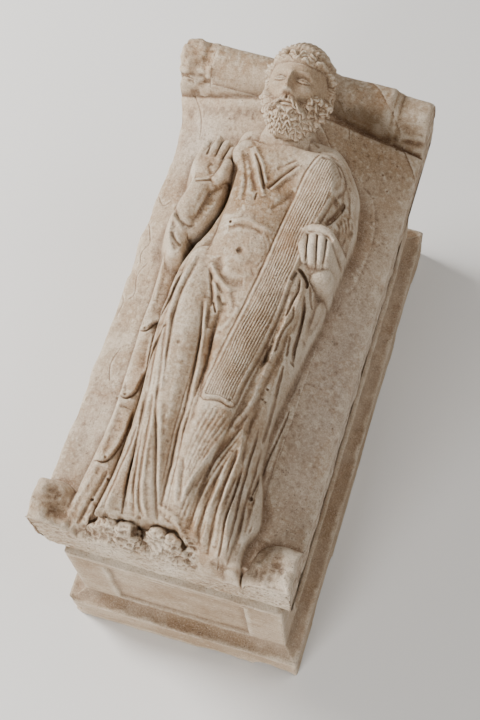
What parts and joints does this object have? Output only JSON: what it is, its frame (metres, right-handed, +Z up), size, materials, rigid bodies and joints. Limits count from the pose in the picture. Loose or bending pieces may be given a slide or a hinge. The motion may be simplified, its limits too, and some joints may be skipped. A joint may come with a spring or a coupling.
{
  "type": "stone ossuary",
  "caption": "Small carved stone ossuary: a hollow chest on a moulded plinth under a loose gabled lid with a robed, bearded figure in high relief.",
  "frame": {"origin": "centre of the plinth's underside", "axes": "+Z up, +Y along the length toward the figure's head, +X across, to the right for someone who stands at the foot end"},
  "size_m": [0.249, 0.509, 0.3995],
  "materials": {
    "chest_stone": "matte, tooled and weathered",
    "lid_stone": "matte, carved and weathered"
  },
  "bodies": {
    "root": {"chest": "chest_stone", "lid": "lid_stone"}
  },
  "joints": []
}
